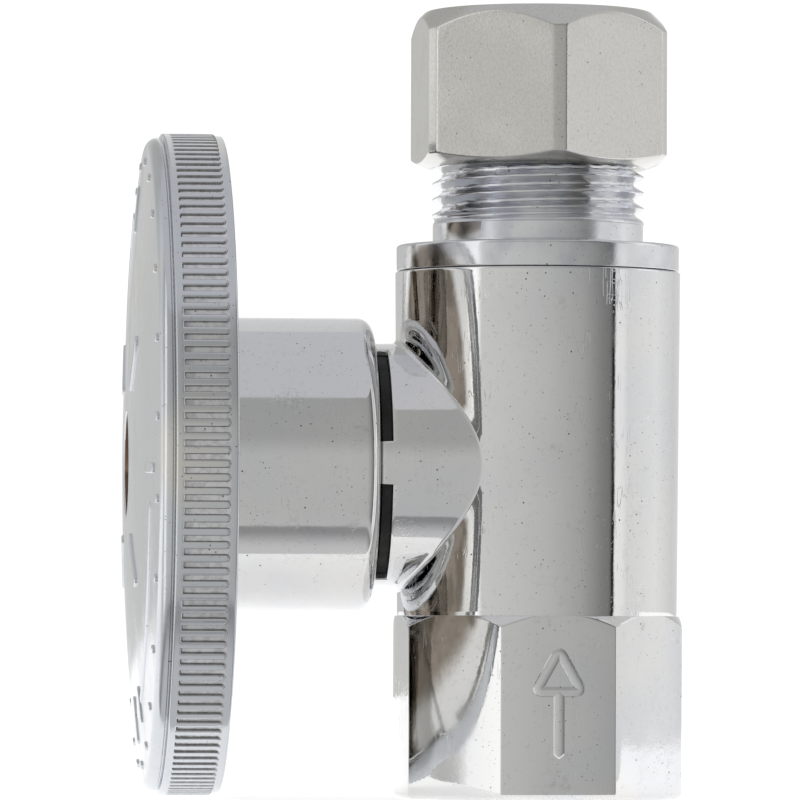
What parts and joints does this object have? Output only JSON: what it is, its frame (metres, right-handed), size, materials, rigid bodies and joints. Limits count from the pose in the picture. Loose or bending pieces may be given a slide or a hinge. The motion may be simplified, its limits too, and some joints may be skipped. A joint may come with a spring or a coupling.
{
  "type": "straight quarter-turn stop valve",
  "caption": "Straight quarter-turn shut-off valve with a round ribbed-rim handle, an octagonal female threaded inlet and a compression nut outlet.",
  "frame": {"origin": "centre of the inlet mouth, on the flow axis, in the plane of the flat inlet end", "axes": "+Z along the flow axis, from the inlet to the outlet; -X along the stem axis, towards the handle; Y across the handle"},
  "size_m": [0.0374, 0.0444, 0.053],
  "materials": {
    "plated_body": "polished chrome plate on brass",
    "plated_fitting": "polished chrome plate on turned brass",
    "plated_nut": "satin chrome plate on brass",
    "plated_handle": "chrome plate on a die-cast handle",
    "brass": "turned brass",
    "screw_brass": "dull brass",
    "steel": "spring steel",
    "seat_plastic": "white fluoropolymer",
    "seal_rubber": "black rubber"
  },
  "bodies": {
    "valve": {"valve_body": "plated_body", "outlet_fitting": "plated_fitting", "fitting_o_ring": "seal_rubber", "inlet_ball_seat": "seat_plastic", "outlet_ball_seat": "seat_plastic", "dust_seal": "seal_rubber"},
    "handle": {"handle": "plated_handle", "handle_screw": "screw_brass", "screw_lock_washer": "steel", "stem": "brass", "stem_thrust_washer": "seat_plastic", "stem_o_ring_inner": "seal_rubber", "stem_o_ring_outer": "seal_rubber"},
    "ball": {"ball": "plated_fitting"},
    "sleeve": {"compression_sleeve": "brass"},
    "nut": {"compression_nut": "plated_nut"}
  },
  "joints": [
    {"name": "handle_turn", "type": "hinge", "parent": "valve", "child": "handle", "pos_m": [0, 0, 0.02235], "axis": [1, 0, 0], "range_deg": [0, 90]},
    {"name": "ball_turn", "type": "hinge", "parent": "valve", "child": "ball", "pos_m": [0, 0, 0.02235], "axis": [1, 0, 0], "range_deg": [0, 90]},
    {"name": "sleeve_slide", "type": "slide", "parent": "valve", "child": "sleeve", "axis": [0, 0, 1], "range_m": [0, 0.00423]},
    {"name": "nut_turn", "type": "hinge", "parent": "sleeve", "child": "nut", "pos_m": [0, 0, 0], "axis": [0, 0, 1], "range_deg": [0, 1440]}
  ],
  "couplings": [
    {"joint": "ball_turn", "follows": "handle_turn", "ratio": 1},
    {"joint": "sleeve_slide", "follows": "nut_turn", "m_per_rad": 0.00016844}
  ]
}
